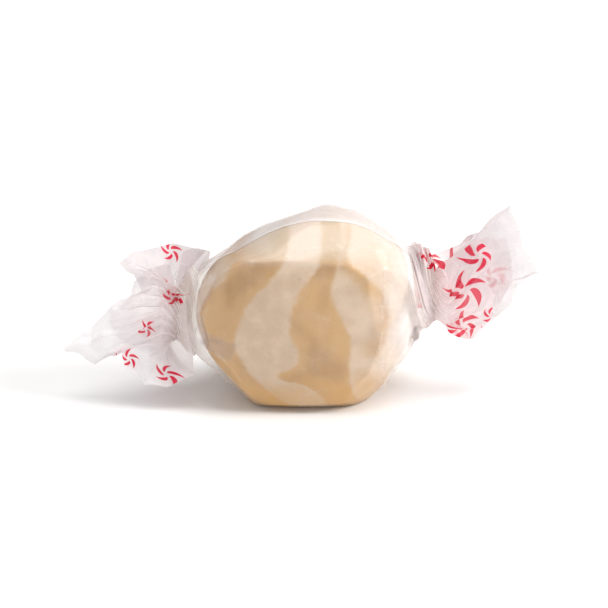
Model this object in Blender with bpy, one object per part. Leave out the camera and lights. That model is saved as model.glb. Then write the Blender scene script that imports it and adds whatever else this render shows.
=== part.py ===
"""One piece of marbled salt water taffy, twisted up in a square of wax paper.

The taffy is a thick slice of a pulled rope, so its two cut faces look along Y and its rounded side
runs between them. The paper is rolled round it and twisted at both ends, so the twist axis is X.
The piece rests on a small flat spot at Z = 0, and the origin is the middle of that spot.
"""

import math

import bmesh
import bpy
import numpy as np
from mathutils import Vector
from mathutils.bvhtree import BVHTree

MM = 0.001

# Taffy, in mm: depth between the cut faces, and how far the middle of each bulges past it.
FACE_DEPTH = 8.4
FACE_CROWN = 0.7
FACE_INSET = 0.5
FACE_CREASE = 0.55
SHOULDER_CREASE = 0.25
CORNER_CREASE = 0.35
TAFFY_LEVELS = 2

# Outline of the front cut as (x, z), counter-clockwise from the right. It is a worn octagon with a
# straight foot, and its right edge stands in from the side, where a wide bevel joins it.
FRONT_OUTLINE = [
    (9.5, 12.4), (9.2, 16.3), (7.8, 19.2), (3.0, 19.9), (-2.5, 19.9), (-8.2, 19.2), (-11.6, 16.2),
    (-12.5, 11.8), (-11.3, 7.6), (-8.4, 4.0), (-5.2, 1.3), (0.5, 1.0), (6.0, 1.2), (9.0, 6.2),
]
# Outline round the middle of the side, with the same number of points.
SIDE_OUTLINE = [
    (14.1, 11.6), (13.7, 16.2), (10.3, 20.6), (4.2, 23.6), (-1.4, 22.6), (-7.7, 19.3), (-12.2, 15.8),
    (-13.5, 11.3), (-12.5, 7.2), (-9.8, 3.4), (-6.4, -0.9), (0.8, -1.3), (8.2, -0.9), (12.9, 5.8),
]
# Outline of the back cut, which is smaller and slopes off towards the upper left.
BACK_OUTLINE = [
    (12.2, 11.4), (11.6, 15.2), (8.8, 19.0), (3.4, 21.9), (-2.0, 19.7), (-7.4, 16.8), (-10.8, 13.8),
    (-12.0, 10.2), (-11.0, 6.8), (-8.4, 3.8), (-5.2, 1.2), (0.6, 0.8), (6.4, 1.2), (10.8, 6.0),
]
# Columns of the outlines where the side has a blunt corner, and not a round.
CORNERS = (2, 5, 7, 9, 13)
# Rings of the side from front to back: y, share of the front outline, share of the back outline.
SIDE_RINGS = [(-5.0, 0.2, 0.0), (-1.6, 0.0, 0.0), (2.6, 0.0, 0.25), (5.8, 0.0, 0.62)]

# Paper twists, in mm. The thickness stands for a doubled, waxed sheet that can be handled.
PAPER_THICKNESS = 0.34
GAP_TO_TAFFY = 0.45
SKIRT_RADIUS = 5.4
SKIRT_SHARES = (0.45,)
ROOT_RADIUS = 4.2
ROOT_HEIGHT = 0.8
NECK_RADIUS = 2.9
FLARE_RADIUS = 3.7
NECK_REACH = 2.0
FLARE_REACH = 3.4
ROOT_TURN = math.radians(75)
NECK_TURN = math.radians(38)
PLEAT_DEPTH = 0.34
EDGE_RUFFLE = 0.30
BELLY = 0.10
FLARE_SHARES = (0.24, 0.52, 0.80, 1.0)
PLEAT_CREASE = 0.45
TWIST_LEVELS = 1

# Free edge of each paper end, as (x, y, z) round its mouth. Every point is a fold or a tip.
LEFT_NECK = (-13.2, 0.0, 9.8)
LEFT_EDGE = [
    (-18.9, -1.4, 12.6), (-22.8, -1.4, 11.2), (-26.0, -2.4, 8.8), (-28.8, -3.2, 6.2),
    (-24.7, -3.6, 5.0), (-21.7, -4.6, 7.6), (-21.4, -5.8, 5.6), (-19.2, -6.6, 3.3), (-16.3, -6.6, 2.9),
    (-13.0, -6.2, 4.4), (-15.6, -3.6, 3.9), (-18.6, -1.4, 4.9), (-19.0, 0.8, 8.8), (-15.2, 4.2, 12.2),
    (-11.9, 5.0, 16.0), (-15.8, 5.0, 17.0), (-20.0, 3.0, 16.6), (-22.8, 1.0, 15.6), (-20.4, -1.0, 14.8),
]
RIGHT_NECK = (13.7, 0.0, 12.3)
RIGHT_EDGE = [
    (16.8, -2.6, 17.3), (20.6, -2.6, 20.4), (22.4, -2.8, 18.6), (21.2, -3.2, 15.8), (22.6, -3.0, 12.8),
    (22.6, -2.4, 10.2), (20.2, -1.0, 7.1), (22.8, 0.8, 8.8), (24.8, 1.4, 10.4), (25.8, 2.2, 12.4),
    (28.2, 2.4, 14.0), (27.0, 2.2, 16.8), (25.8, 2.2, 19.6), (24.6, 1.8, 22.9), (22.2, 0.2, 20.8),
    (18.4, 0.8, 18.2), (14.6, -0.9, 17.3),
]

COLOURS = {
    "taffy": ((0.66, 0.46, 0.27), 0.42),
    "twist_left": ((0.90, 0.86, 0.84), 0.48),
    "twist_right": ((0.90, 0.86, 0.84), 0.48),
}


def clear_scene():
    for thing in list(bpy.data.objects):
        bpy.data.objects.remove(thing, do_unlink=True)


def plain_material(name):
    colour, roughness = COLOURS[name]
    material = bpy.data.materials.new(name)
    material.use_nodes = True
    shader = material.node_tree.nodes["Principled BSDF"]
    shader.inputs["Base Color"].default_value = (*colour, 1.0)
    shader.inputs["Roughness"].default_value = roughness
    shader.inputs["Metallic"].default_value = 0.0
    return material


def close_end(shell, loop):
    """Closes one end of a shell with a face, split from its middle so that a folded outline holds."""
    face = bmesh.ops.contextual_create(shell, geom=loop)["faces"]
    bmesh.ops.poke(shell, faces=face)


def loft(rings, ring_creases, column_creases):
    """A closed shell through rings of points in mm, each ring drawn out of the one before it.

    A crease is given for each ring, and for each column of points that runs from ring to ring.
    """
    shell = bmesh.new()
    crease_layer = shell.edges.layers.float.new("crease_edge")
    verts = [shell.verts.new(Vector(point) * MM) for point in rings[0]]
    count = len(verts)
    loop = [shell.edges.new((verts[i], verts[(i + 1) % count])) for i in range(count)]
    first = list(loop)
    for ring, ring_crease in zip(rings[1:], ring_creases[1:]):
        drawn = bmesh.ops.extrude_edge_only(shell, edges=loop)["geom"]
        previous = verts
        verts = [item for item in drawn if isinstance(item, bmesh.types.BMVert)]
        for vert, point in zip(verts, ring):
            vert.co = Vector(point) * MM
        loop = [item for item in drawn if isinstance(item, bmesh.types.BMEdge) and len(item.link_faces) == 1]
        for edge in loop:
            edge[crease_layer] = ring_crease
        for low, high, column_crease in zip(previous, verts, column_creases):
            shell.edges.get((low, high))[crease_layer] = column_crease
    close_end(shell, first)
    close_end(shell, loop)
    bmesh.ops.recalc_face_normals(shell, faces=shell.faces)
    return shell


def smooth_object(name, shell, levels):
    """An object from a shell, its surface divided and rounded."""
    mesh = bpy.data.meshes.new(name)
    shell.to_mesh(mesh)
    shell.free()
    part = bpy.data.objects.new(name, mesh)
    bpy.context.scene.collection.objects.link(part)
    part.data.materials.append(plain_material(name))
    divide = part.modifiers.new("round off", "SUBSURF")
    divide.levels = levels
    divide.render_levels = levels
    mesh.shade_smooth()
    return part


def settle_on_floor(part):
    """Applies the modifiers, then cuts the underside off level at Z = 0."""
    graph = bpy.context.evaluated_depsgraph_get()
    settled = bpy.data.meshes.new_from_object(part.evaluated_get(graph))
    part.modifiers.clear()
    part.data = settled
    shell = bmesh.new()
    shell.from_mesh(settled)
    everything = list(shell.verts) + list(shell.edges) + list(shell.faces)
    cut = bmesh.ops.bisect_plane(
        shell, geom=everything, dist=1e-6, plane_co=(0, 0, 0), plane_no=(0, 0, 1), clear_inner=True
    )
    rim = [item for item in cut["geom_cut"] if isinstance(item, bmesh.types.BMEdge)]
    bmesh.ops.contextual_create(shell, geom=rim)
    bmesh.ops.recalc_face_normals(shell, faces=shell.faces)
    shell.to_mesh(settled)
    shell.free()


def make_taffy():
    front, side, back = (np.array(outline) for outline in (FRONT_OUTLINE, SIDE_OUTLINE, BACK_OUTLINE))

    def ring(outline, y):
        return [(x, y, z) for x, z in outline]

    def middle_of(outline):
        centre = outline.mean(axis=0)
        return centre + (outline - centre) * FACE_INSET

    rings = [ring(middle_of(front), -FACE_DEPTH - FACE_CROWN), ring(front, -FACE_DEPTH)]
    for y, front_share, back_share in SIDE_RINGS:
        rings.append(ring(side + (front - side) * front_share + (back - side) * back_share, y))
    rings += [ring(back, FACE_DEPTH), ring(middle_of(back), FACE_DEPTH + FACE_CROWN)]
    creases = [0.0, FACE_CREASE, SHOULDER_CREASE, 0.0, 0.0, SHOULDER_CREASE, FACE_CREASE, 0.0]
    columns = [CORNER_CREASE if number in CORNERS else 0.0 for number in range(len(front))]
    part = smooth_object("taffy", loft(rings, creases, columns), TAFFY_LEVELS)
    settle_on_floor(part)
    return part


def edge_columns(edge):
    """The free edge with one more point between each two, which is where a pleat folds inwards."""
    edge = np.array(edge)
    following = np.roll(edge, -1, axis=0)
    columns = np.empty((2 * len(edge), 3))
    columns[0::2] = edge
    columns[1::2] = (edge + following) / 2
    return columns


def neck_angles(columns, neck):
    """Angle of each column round the neck: spaced as along the free edge, and turned to face it."""
    steps = np.linalg.norm(np.roll(columns, -1, axis=0) - columns, axis=1)
    along = np.concatenate([[0.0], np.cumsum(steps)[:-1]]) / steps.sum() * math.tau
    seen = np.arctan2(columns[:, 2] - neck[2], columns[:, 1] - neck[1])
    way = 1.0 if columns_turn_left(seen) else -1.0
    offset = np.angle(np.mean(np.exp(1j * (seen - way * along))))
    return way * along + offset


def columns_turn_left(seen):
    steps = np.angle(np.exp(1j * (np.roll(seen, -1) - seen)))
    return steps.sum() > 0


def neck_ring(angles, centre, radius, turn, pleats):
    """A pleated ring across the twist axis: every other column stands in from the one beside it."""
    radii = radius + pleats * np.where(np.arange(len(angles)) % 2 == 0, 1.0, -1.0)
    y = centre[1] + radii * np.cos(angles + turn)
    z = centre[2] + radii * np.sin(angles + turn)
    return np.stack([np.full_like(y, centre[0]), y, z], axis=1)


def skirt_ring(angles, neck, radius, turn, side, height, taffy):
    """A pleated ring that lies on the taffy's end, standing off it by the given height."""
    ring = neck_ring(angles, neck, radius, turn, PLEAT_DEPTH if height > GAP_TO_TAFFY else 0.0)
    for point in ring:
        start = Vector((neck[0] + side * 2 * SKIRT_RADIUS, point[1], point[2]))
        met = taffy.ray_cast(start * MM, Vector((-side, 0.0, 0.0)))[0]
        point[0] = met.x / MM + side * height
    return ring


def inward(rings):
    """Unit directions into the funnel, from how its rings run round and along."""
    rings = np.array(rings)
    around = np.roll(rings, -1, axis=1) - np.roll(rings, 1, axis=1)
    along = np.gradient(rings, axis=0)
    normal = np.cross(around, along)
    normal /= np.linalg.norm(normal, axis=2, keepdims=True)
    middle = rings.mean(axis=1, keepdims=True)
    if (normal * (middle - rings)).sum() < 0:
        normal = -normal
    return normal


def make_twist(name, neck, edge, side, taffy):
    """One paper end: a skirt on the taffy's end, a tight pleated neck, and a funnel with a free edge."""
    columns = edge_columns(edge)
    angles = neck_angles(columns, neck)
    root_turn = -side * ROOT_TURN
    under = [
        skirt_ring(angles, neck, SKIRT_RADIUS * share, root_turn, side, GAP_TO_TAFFY, taffy)
        for share in (*SKIRT_SHARES, 1.0)
    ]
    rim = skirt_ring(angles, neck, SKIRT_RADIUS, root_turn, side, GAP_TO_TAFFY + PAPER_THICKNESS, taffy)
    root = skirt_ring(angles, neck, ROOT_RADIUS, root_turn, side, ROOT_HEIGHT, taffy)
    centres = [(neck[0] + side * reach, neck[1], neck[2]) for reach in (NECK_REACH, FLARE_REACH)]
    waist = neck_ring(angles, centres[0], NECK_RADIUS, -side * NECK_TURN, PLEAT_DEPTH)
    flare = neck_ring(angles, centres[1], FLARE_RADIUS, 0.0, PLEAT_DEPTH)
    axis_end = columns.mean(axis=0)
    pleat_sign = np.where(np.arange(len(columns)) % 2 == 0, 1.0, -1.0)[:, None]
    rings = [flare]
    for share in FLARE_SHARES:
        line = flare + (columns - flare) * share
        spine = np.array(centres[1]) + (axis_end - np.array(centres[1])) * share
        outward = line - spine
        reach = np.linalg.norm(outward, axis=1, keepdims=True)
        bulge = BELLY * 4.0 * share * (1.0 - share) * outward
        ruffle = EDGE_RUFFLE * pleat_sign * outward / reach
        rings.append(line + bulge + ruffle)
    inner = np.array(rings) + inward(rings) * PAPER_THICKNESS
    profile = under + [rim, root, waist] + rings + list(inner[:0:-1])
    shell = loft(profile, [0.0] * len(profile), [PLEAT_CREASE] * len(columns))
    return smooth_object(name, shell, TWIST_LEVELS)


clear_scene()
whole_taffy = make_taffy()
taffy_surface = BVHTree.FromObject(whole_taffy, bpy.context.evaluated_depsgraph_get())
make_twist("twist_left", LEFT_NECK, LEFT_EDGE, -1.0, taffy_surface)
make_twist("twist_right", RIGHT_NECK, RIGHT_EDGE, 1.0, taffy_surface)
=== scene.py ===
# %% [markdown]
# # A piece of marbled taffy in twisted wax paper
#
# A rope of taffy, pulled from a light and a dark batch, is cut into pieces. A machine rolls each
# in a sheet of wax paper and twists both ends. The paper presses flats into the soft sweet, and the
# marbling shows wherever it clings. X runs along the twist, -Y looks out of the front cut, and the
# piece stands on Z = 0.

# %% Load the frame
import math

import bmesh
import bpy
import numpy as np
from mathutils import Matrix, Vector, noise
from mathutils.bvhtree import BVHTree


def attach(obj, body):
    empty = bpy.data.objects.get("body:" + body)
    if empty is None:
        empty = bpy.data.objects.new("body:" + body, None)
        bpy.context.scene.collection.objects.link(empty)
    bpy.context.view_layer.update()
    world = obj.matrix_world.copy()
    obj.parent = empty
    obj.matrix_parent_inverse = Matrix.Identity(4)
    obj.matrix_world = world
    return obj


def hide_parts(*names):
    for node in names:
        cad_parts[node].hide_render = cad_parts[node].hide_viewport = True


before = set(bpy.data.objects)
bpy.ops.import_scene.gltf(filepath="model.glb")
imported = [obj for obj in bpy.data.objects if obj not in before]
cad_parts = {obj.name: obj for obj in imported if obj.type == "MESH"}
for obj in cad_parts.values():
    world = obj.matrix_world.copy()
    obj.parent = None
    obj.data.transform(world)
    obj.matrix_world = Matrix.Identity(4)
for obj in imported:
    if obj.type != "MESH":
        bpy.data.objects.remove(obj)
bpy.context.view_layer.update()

MM = 0.001

# %% [markdown]
# ## Drawing a skin through rings
#
# The sweet and each paper funnel are a skin drawn through rings: a circle is moved to the first
# ring's points, and each further ring is extruded from the last. A strip starts from a circle with
# one corner taken out. Creased edges stay crisp when divided.

# %% Rings, objects and finished meshes


def skin_through(rings, ring_creases, column_creases, closed=True, capped=False):
    """A bmesh skin through rings, or open rows, of points in mm."""
    skin = bmesh.new()
    crease_layer = skin.edges.layers.float.new("crease_edge")
    spare = 0 if closed else 1
    verts = bmesh.ops.create_circle(skin, segments=len(rings[0]) + spare, radius=1.0)["verts"]
    if spare:
        bmesh.ops.delete(skin, geom=[verts.pop()], context="VERTS")
    for vert, point in zip(verts, rings[0]):
        vert.co = Vector(point) * MM
    first = edges = list(skin.edges)
    for ring, ring_crease in zip(rings[1:], ring_creases[1:]):
        drawn = bmesh.ops.extrude_edge_only(skin, edges=edges)["geom"]
        following = [item for item in drawn if isinstance(item, bmesh.types.BMVert)]
        for vert, point in zip(following, ring):
            vert.co = Vector(point) * MM
        for low, high, column_crease in zip(verts, following, column_creases):
            skin.edges.get((low, high))[crease_layer] = column_crease
        neighbours = following[1:] + (following[:1] if closed else [])
        edges = [skin.edges.get(pair) for pair in zip(following, neighbours)]
        for edge in edges:
            edge[crease_layer] = ring_crease
        verts = following
    if capped:
        for end in (first, edges):
            face = bmesh.ops.contextual_create(skin, geom=end)["faces"]
            bmesh.ops.poke(skin, faces=face)
    if closed:
        bmesh.ops.recalc_face_normals(skin, faces=skin.faces)
    return skin


def in_scene(name, data):
    made = bpy.data.objects.new(name, data)
    bpy.context.scene.collection.objects.link(made)
    return made


def new_piece(name, skin):
    mesh = bpy.data.meshes.new(name)
    skin.to_mesh(mesh)
    skin.free()
    mesh.shade_smooth()
    return in_scene(name, mesh)


def divide(piece, levels):
    modifier = piece.modifiers.new("round off", "SUBSURF")
    modifier.levels = levels
    modifier.render_levels = levels
    graph = bpy.context.evaluated_depsgraph_get()
    mesh = bpy.data.meshes.new_from_object(piece.evaluated_get(graph))
    piece.modifiers.clear()
    piece.data = mesh


def read(items, name, width=3, kind=float):
    """One property of all items, as a row of numbers each."""
    values = np.empty(len(items) * width, kind)
    items.foreach_get(name, values)
    return values.reshape(-1, width)


def points_of(piece):
    return read(piece.data.vertices, "co") / MM


def normals_of(piece):
    return read(piece.data.vertex_normals, "vector")


def move_points(piece, points):
    piece.data.vertices.foreach_set("co", (points * MM).ravel())
    piece.data.update()


def store(piece, **numbers):
    """Keeps numbers for each vertex, which a material reads by name."""
    for name, values in numbers.items():
        attribute = piece.data.attributes.new(name, "FLOAT", "POINT")
        attribute.data.foreach_set("value", np.asarray(values, np.float32))


def smooth_step(low, high, value):
    share = np.clip((value - low) / (high - low), 0.0, 1.0)
    return share * share * (3.0 - 2.0 * share)


def noise_at(points, size, seed):
    """Smooth noise from about -1 to 1, with lumps of the given size in mm."""
    shift = Vector((seed * 7.3, seed * 3.1, seed * 5.7))
    return np.array([noise.noise(Vector(point) / size + shift) for point in points])


# %% [markdown]
# ## The taffy
#
# The sweet is a thick slice of a rope: a front and a back cut, and between them a worn side with
# blunt corners, slumped to a flat foot. A sphere could be carved, but rings drawn from cut to cut
# follow how the slice is made, and give each cut its own outline.

# %% Outline of the sweet
FACE_DEPTH = 8.4
FACE_CROWN = 0.7
FACE_INSET = 0.5
FACE_CREASE = 0.90
SHOULDER_CREASE = 0.30
# Points of the outlines with a blunt corner, and how crisp it is.
CORNERS = {2: 0.5, 5: 0.5, 7: 0.5, 9: 0.5, 10: 0.6, 12: 0.25, 13: 0.5}
FRONT_OUTLINE = [
    (9.5, 12.4), (9.2, 16.3), (7.8, 19.2), (3, 19.9), (-2.5, 19.9), (-8.2, 19.2), (-11.6, 16.2),
    (-12.5, 11.8), (-11.3, 7.6), (-8.4, 4), (-5.2, 1.3), (0.5, 1), (6, 1.2), (9, 6.2),
]
SIDE_OUTLINE = [
    (14.1, 11.6), (13.7, 16.2), (10.3, 20.6), (4.2, 23.6), (-1.4, 22.6), (-7.7, 19.3), (-12.2, 15.8),
    (-13.5, 11.3), (-12.5, 7.2), (-9.8, 3.4), (-6.4, -0.9), (0.8, -1.3), (8.2, -0.9), (12.9, 5.8),
]
BACK_OUTLINE = [
    (12.2, 11.4), (11.6, 15.2), (8.8, 19), (3.4, 21.9), (-2, 19.7), (-7.4, 16.8), (-10.8, 13.8),
    (-12, 10.2), (-11, 6.8), (-8.4, 3.8), (-5.2, 1.2), (0.6, 0.8), (6.4, 1.2), (10.8, 6),
]
# Rings of the side as (y, share of the front outline, of the back outline).
SIDE_RINGS = [(-5.0, 0.2, 0.0), (-1.6, 0.0, 0.0), (2.6, 0.0, 0.25), (5.8, 0.0, 0.62)]
TAFFY_LEVELS = 4


def taffy_rings():
    front, side, back = (np.array(outline) for outline in (FRONT_OUTLINE, SIDE_OUTLINE, BACK_OUTLINE))

    def ring(outline, y):
        return [(x, y, z) for x, z in outline]

    def middle_of(outline):
        centre = outline.mean(axis=0)
        return centre + (outline - centre) * FACE_INSET

    rings = [ring(middle_of(front), -FACE_DEPTH - FACE_CROWN), ring(front, -FACE_DEPTH)]
    for y, front_share, back_share in SIDE_RINGS:
        rings.append(ring(side + (front - side) * front_share + (back - side) * back_share, y))
    return rings + [ring(back, FACE_DEPTH), ring(middle_of(back), FACE_DEPTH + FACE_CROWN)]


ring_creases = [0.0, FACE_CREASE, SHOULDER_CREASE, 0.0, 0.0, SHOULDER_CREASE, FACE_CREASE, 0.0]
column_creases = [CORNERS.get(number, 0.0) for number in range(len(FRONT_OUTLINE))]
taffy_skin = skin_through(taffy_rings(), ring_creases, column_creases, capped=True)
taffy = new_piece("marbled_taffy", taffy_skin)
divide(taffy, TAFFY_LEVELS)
print("taffy skin:", len(taffy.data.polygons), "faces")

# %% [markdown]
# ## Flats and dents
#
# Tight paper presses flats into soft taffy. Each is made as the paper makes it: what stands past a
# plane is pushed back to it. Noise then adds the slow dents of a handled sweet and the fine pits of
# pulled sugar. The whole is drawn in a little, which leaves room for the sheet.

# %% Press the flats
FLAT_COUNT = 60
FLAT_DEPTH = (0.12, 0.55)
FLAT_SPREAD = (1.0, 0.8, 1.0)
FLAT_SEED = 11
# Where the flats of the cut faces and of the rim round the front cut look.
FACE_FLATS = [
    (-0.16, -1, 0.10), (0.13, -1, -0.08), (0.05, -1, 0.22), (-0.05, -1, -0.25),
    (0.30, -1, 0.05), (0.42, -0.75, 0.10), (-0.25, 1, 0.12), (0.20, 1, -0.14),
]
FACE_FLAT_DEPTH = 0.22
RIM_FLATS = [
    (-0.75, -0.62, -0.15), (-0.62, -0.72, 0.30), (-0.30, -0.80, 0.52), (0.58, -0.80, 0.12),
    (0.38, -0.80, 0.46), (0.50, -0.75, -0.42), (-0.50, -0.75, -0.45), (0.10, -0.80, 0.60),
    (0.78, -0.60, -0.10), (-0.85, -0.45, 0.28),
]
RIM_FLAT_DEPTH = 0.50
DENT_SIZE, DENT_DEPTH = 6.5, 0.16
PIT_SIZE, PIT_DEPTH = 1.3, 0.022
TAFFY_DRAWN_IN = 0.16
EDGE_SOFTENING = 0.3
FOOT_HEIGHT = 0.10


def press_flat(points, direction, depth):
    """Pushes what stands past a plane, `depth` under the highest point, back to it."""
    direction = np.array(direction) / np.linalg.norm(direction)
    reach = points @ direction
    over = np.clip(reach - (reach.max() - depth), 0.0, None)
    return points - np.outer(over, direction)


taffy_points = points_of(taffy) - normals_of(taffy) * TAFFY_DRAWN_IN
for flats, depth in ((FACE_FLATS, FACE_FLAT_DEPTH), (RIM_FLATS, RIM_FLAT_DEPTH)):
    for direction in flats:
        taffy_points = press_flat(taffy_points, direction, depth)
draws = np.random.default_rng(FLAT_SEED)
for _ in range(FLAT_COUNT):
    direction = draws.normal(size=3) * FLAT_SPREAD
    depth = draws.uniform(*FLAT_DEPTH)
    taffy_points = press_flat(taffy_points, direction, depth)
move_points(taffy, taffy_points)
skin = bmesh.new()
skin.from_mesh(taffy.data)
every_axis = {"use_axis_x": True, "use_axis_y": True, "use_axis_z": True}
bmesh.ops.smooth_vert(skin, verts=skin.verts, factor=EDGE_SOFTENING, **every_axis)
skin.to_mesh(taffy.data)
taffy_points = points_of(taffy)
dents = DENT_DEPTH * noise_at(taffy_points, DENT_SIZE, 1)
dents = dents + PIT_DEPTH * noise_at(taffy_points, PIT_SIZE, 2)
move_points(taffy, taffy_points + normals_of(taffy) * (dents - DENT_DEPTH * 0.5)[:, None])
skin.clear()
skin.from_mesh(taffy.data)
everything = list(skin.verts) + list(skin.edges) + list(skin.faces)
foot = {"plane_co": (0, 0, FOOT_HEIGHT * MM), "plane_no": (0, 0, 1)}
cut = bmesh.ops.bisect_plane(skin, geom=everything, dist=1e-7, clear_inner=True, **foot)
rim = [item for item in cut["geom_cut"] if isinstance(item, bmesh.types.BMEdge)]
bmesh.ops.contextual_create(skin, geom=rim)
bmesh.ops.recalc_face_normals(skin, faces=skin.faces)
skin.to_mesh(taffy.data)
skin.free()
taffy.data.shade_smooth()
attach(taffy, "root")
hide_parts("taffy")
taffy_points = points_of(taffy)
print("taffy reaches", taffy_points.min(axis=0).round(1), taffy_points.max(axis=0).round(1), "mm")

# %% [markdown]
# ## The twists' plan
#
# At each end the sheet gathers into a tight neck and fans out. Its free edge is one closed path
# with a point at every fold and tip of the real paper. Columns run from there back to the neck,
# where every other one stands in as a pleat. The neck is turned, which makes the pleats spiral.

# %% Necks and free edges
NECK_RADIUS = 2.9
FLARE_RADIUS = 3.7
NECK_REACH = 2.0
FLARE_REACH = 3.4
NECK_TURN = math.radians(38)
PLEAT_DEPTH = 0.34
LEFT_NECK = (-13.2, 0.0, 9.8)
LEFT_EDGE = [
    (-18.9, -1.4, 12.6), (-22.8, -1.4, 11.2), (-26, -2.4, 8.8), (-28.8, -3.2, 6.2),
    (-24.7, -3.6, 5), (-21.7, -4.6, 7.6), (-21.4, -5.8, 5.6), (-19.2, -6.6, 3.3), (-16.3, -6.6, 2.9),
    (-13, -6.2, 4.4), (-15.6, -3.6, 3.9), (-18.6, -1.4, 4.9), (-19, 0.8, 8.8), (-15.2, 4.2, 12.2),
    (-11.9, 5, 16), (-15.8, 5, 17), (-20, 3, 16.6), (-22.8, 1, 15.6), (-20.4, -1, 14.8),
]
RIGHT_NECK = (13.7, 0.0, 12.3)
RIGHT_EDGE = [
    (16.8, -2.6, 17.3), (20.6, -2.6, 20.4), (22.4, -2.8, 18.6), (21.2, -3.2, 15.8), (22.6, -3, 12.8),
    (22.6, -2.4, 10.2), (20.2, -1, 7.1), (22.8, 0.8, 8.8), (24.8, 1.4, 10.4), (25.8, 2.2, 12.4),
    (28.2, 2.4, 14), (27, 2.2, 16.8), (25.8, 2.2, 19.6), (24.6, 1.8, 22.9), (22.2, 0.2, 20.8),
    (18.4, 0.8, 18.2), (14.6, -0.9, 17.3),
]


def edge_columns(edge, closed=True):
    """The free edge with one more point between each two, for the inward folds."""
    edge = np.array(edge)
    columns = np.empty((2 * len(edge), 3))
    columns[0::2] = edge
    columns[1::2] = (edge + np.roll(edge, -1, axis=0)) / 2
    return columns if closed else columns[:-1]


def lengths_along(columns):
    """Length in mm along a closed edge to each column, and the whole."""
    steps = np.linalg.norm(np.roll(columns, -1, axis=0) - columns, axis=1)
    return np.concatenate([[0.0], np.cumsum(steps)[:-1]]), steps.sum()


def neck_angles(columns, neck):
    """Angles of the columns round the neck, from +Y to +Z, spaced as along the edge."""
    lengths, whole = lengths_along(columns)
    seen = np.arctan2(columns[:, 2] - neck[2], columns[:, 1] - neck[1])
    turned = np.angle(np.exp(1j * (np.roll(seen, -1) - seen))).sum()
    along = math.copysign(math.tau, turned) * lengths / whole
    return along + np.angle(np.mean(np.exp(1j * (seen - along))))


def past_neck(neck, side, reach):
    """A point on the twist's axis."""
    return np.array((neck[0] + side * reach, neck[1], neck[2]))


def pleated(count):
    return np.where(np.arange(count) % 2 == 0, 1.0, -1.0)


def neck_ring(angles, centre, radius, turn, pleats):
    radii = radius + pleats * pleated(len(angles))
    y = centre[1] + radii * np.cos(angles + turn)
    z = centre[2] + radii * np.sin(angles + turn)
    return np.stack([np.full_like(y, centre[0]), y, z], axis=1)


for label, edge in (("left", LEFT_EDGE), ("right", RIGHT_EDGE)):
    print(label, "free edge:", round(lengths_along(edge_columns(edge))[1], 1), "mm round")

# %% [markdown]
# ## Creases in the paper
#
# Handled wax paper keeps short straight ridges. Noise would give soft lumps, so each ridge is a
# tent of height, with its place and direction from a seeded draw. How sharply the surface turns is
# measured too, because wax shows white on a sharp fold.

# %% Creases of crumpled paper
CREASE_WIDTH = (0.5, 1.7)
CREASE_LENGTH = (3.0, 9.0)


def straight_creases(points, count, heights, seed, scale=1.0):
    draws = np.random.default_rng(seed)
    low, high = points.min(axis=0), points.max(axis=0)
    height = np.zeros(len(points))
    for _ in range(count):
        across, along = draws.normal(size=3), draws.normal(size=3)
        across /= np.linalg.norm(across)
        along -= across * (along @ across)
        along /= np.linalg.norm(along)
        away = points - draws.uniform(low, high)
        width = scale * draws.uniform(*CREASE_WIDTH)
        half_length = scale * draws.uniform(*CREASE_LENGTH) / 2.0
        ridge = np.clip(1.0 - np.abs(away @ across) / width, 0.0, None)
        window = 1.0 - smooth_step(0.5, 1.0, np.abs(away @ along) / half_length)
        height += draws.choice((-1.0, 1.0)) * draws.uniform(*heights) * ridge * window
    return height


def fold_sharpness(piece):
    """How sharply the surface turns, from 0 on a flat to 1 on a crisp fold."""
    ends = read(piece.data.edges, "vertices", 2, int)
    points, normals = points_of(piece), normals_of(piece)
    turn = 1.0 - np.sum(normals[ends[:, 0]] * normals[ends[:, 1]], axis=1)
    turn = turn / np.maximum(np.linalg.norm(points[ends[:, 0]] - points[ends[:, 1]], axis=1), 0.05)
    total, count = np.zeros(len(points)), np.zeros(len(points))
    for end in (0, 1):
        np.add.at(total, ends[:, end], turn)
        np.add.at(count, ends[:, end], 1.0)
    return smooth_step(0.02, 0.30, total / np.maximum(count, 1.0))


# %% [markdown]
# ## The print
#
# The sheet carries a red print of five-bladed pinwheels. A picture would have to be unwrapped over
# every crease, so each face gets its place on the nearest pinwheel as a UV map, and the material
# draws the blades.

# %% Where the print lies
PRINT_SLANT = 0.5
PRINT_BACK_FROM = 1.0
# Pinwheels as (across, up, radius, turn), in mm on the flattened sheet.
FRONT_PINWHEELS = [
    (18.9, 16.6, 2.3, 0.4), (17.6, 12.2, 2.7, 1.9), (17.9, 7.9, 2.1, 3.1), (14.2, 16.4, 1.9, 0.9),
    (21.2, 9.2, 1.3, 5), (-16.6, 11.6, 1.3, 2.2), (-20.6, 7.4, 1.2, 0.3), (-18.8, 1.4, 1.7, 4),
    (-23.4, 3.4, 1.4, 1.1),
]
BACK_PINWHEELS = [
    (15.5, 17.2, 2.2, 2), (17.6, 12.4, 2.6, 0.2), (16.6, 7.6, 1.7, 3.3), (24.4, 15, 1.8, 4.4),
    (-13.8, 18.4, 1.6, 1), (-16.4, 12.8, 2.2, 2.7), (-14.2, 7, 2, 5.2),
]
NO_PINWHEEL = (0.0, -90.0, 1.0, 0.0)


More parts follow.
